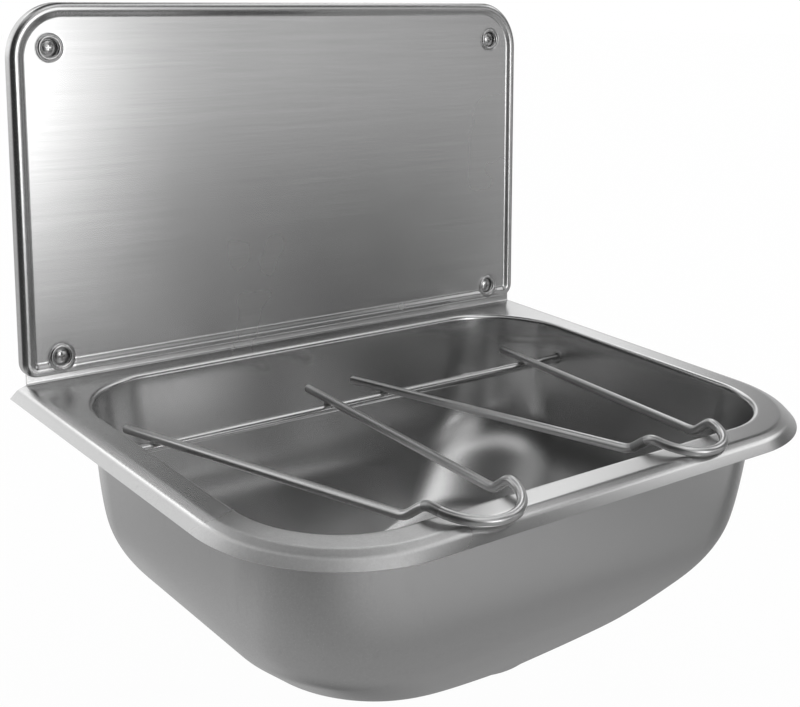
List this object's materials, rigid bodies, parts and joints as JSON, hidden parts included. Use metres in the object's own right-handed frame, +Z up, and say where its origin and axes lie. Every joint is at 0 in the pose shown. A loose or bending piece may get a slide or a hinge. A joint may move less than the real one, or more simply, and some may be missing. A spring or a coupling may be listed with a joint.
{
  "type": "wall-hung slop sink",
  "caption": "Wall-hung steel slop sink with a deep-drawn bowl, stepped rim, beaded splashback and a bucket grate of bent wire that tips up on a rod.",
  "frame": {"origin": "on the wall plane, in the middle of the four wall screws", "axes": "+X to the right seen from the front, +Y into the wall, +Z up"},
  "size_m": [0.5202, 0.4336, 0.532],
  "materials": {
    "bowl_steel": "satin brushed stainless sheet",
    "splash_steel": "fine horizontal brushed stainless sheet",
    "wire_steel": "semi-polished drawn wire",
    "screw_steel": "bright stainless, cross recess",
    "strainer_steel": "polished stainless",
    "gasket_rubber": "matt black rubber",
    "waste_plastic": "moulded off-white plastic"
  },
  "bodies": {
    "sink": {"bowl": "bowl_steel", "splashback": "splash_steel", "wall_screw_top_left": "screw_steel", "wall_screw_top_right": "screw_steel", "wall_screw_bottom_left": "screw_steel", "wall_screw_bottom_right": "screw_steel", "strainer_plate": "strainer_steel", "strainer_screw": "screw_steel", "upper_gasket": "gasket_rubber", "lower_gasket": "gasket_rubber", "waste_body": "waste_plastic"},
    "grate": {"pivot_rod": "wire_steel", "hairpin_left": "wire_steel", "hairpin_right": "wire_steel"}
  },
  "joints": [
    {"name": "grate_tip", "type": "hinge", "parent": "sink", "child": "grate", "pos_m": [0, -0.0974, -0.17341], "axis": [-1, 0, 0], "range_deg": [0, 104.6]}
  ]
}
